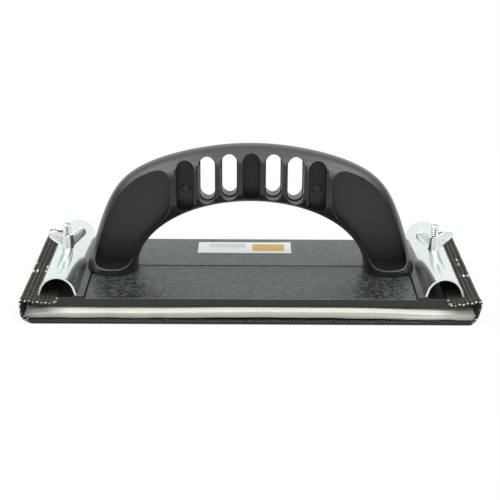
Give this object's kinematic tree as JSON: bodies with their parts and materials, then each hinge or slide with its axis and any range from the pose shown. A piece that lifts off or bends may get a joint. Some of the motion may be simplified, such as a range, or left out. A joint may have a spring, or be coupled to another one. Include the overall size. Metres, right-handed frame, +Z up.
{
  "type": "hand sander",
  "caption": "Drywall hand sander: moulded plate with a slotted bow handle, foam pad, and abrasive mesh held at both ends by half-round clamps with wing nuts.",
  "frame": {"origin": "middle of the working face, on the surface that the sander rests on", "axes": "+X along the plate to the right, +Y from front to back, +Z up through the handle"},
  "size_m": [0.218, 0.105, 0.074],
  "materials": {
    "black_plastic": "satin moulded plastic",
    "label_paper": "semi-gloss paper sticker",
    "adhesive": "bonding film",
    "foam": "soft closed-cell foam",
    "abrasive": "woven mesh coated with grit",
    "zinc_steel": "bright zinc plating",
    "zinc_sheet": "zinc-plated sheet"
  },
  "bodies": {
    "sander": {"body": "black_plastic", "label": "label_paper", "foam_adhesive": "adhesive", "foam_pad": "foam", "abrasive_mesh": "abrasive", "left_bolt": "zinc_steel", "right_bolt": "zinc_steel"},
    "left_clamp": {"left_clamp": "zinc_sheet"},
    "right_clamp": {"right_clamp": "zinc_sheet"},
    "left_wing_nut": {"left_wing_nut": "zinc_steel"},
    "right_wing_nut": {"right_wing_nut": "zinc_steel"}
  },
  "joints": [
    {"name": "left_clamp_lift", "type": "slide", "parent": "sander", "child": "left_clamp", "axis": [0, 0, 1], "range_m": [0, 0.0051]},
    {"name": "left_nut_turn", "type": "hinge", "parent": "left_clamp", "child": "left_wing_nut", "pos_m": [-0.09275, 0, 0.0195], "axis": [0, 0, 1], "range_deg": [0, 1836]},
    {"name": "right_clamp_lift", "type": "slide", "parent": "sander", "child": "right_clamp", "axis": [0, 0, 1], "range_m": [0, 0.0051]},
    {"name": "right_nut_turn", "type": "hinge", "parent": "right_clamp", "child": "right_wing_nut", "pos_m": [0.09275, 0, 0.0195], "axis": [0, 0, 1], "range_deg": [0, 1836]}
  ],
  "couplings": [
    {"joint": "left_nut_turn", "follows": "left_clamp_lift", "rad_per_m": 6283.2},
    {"joint": "right_nut_turn", "follows": "right_clamp_lift", "rad_per_m": 6283.2}
  ]
}
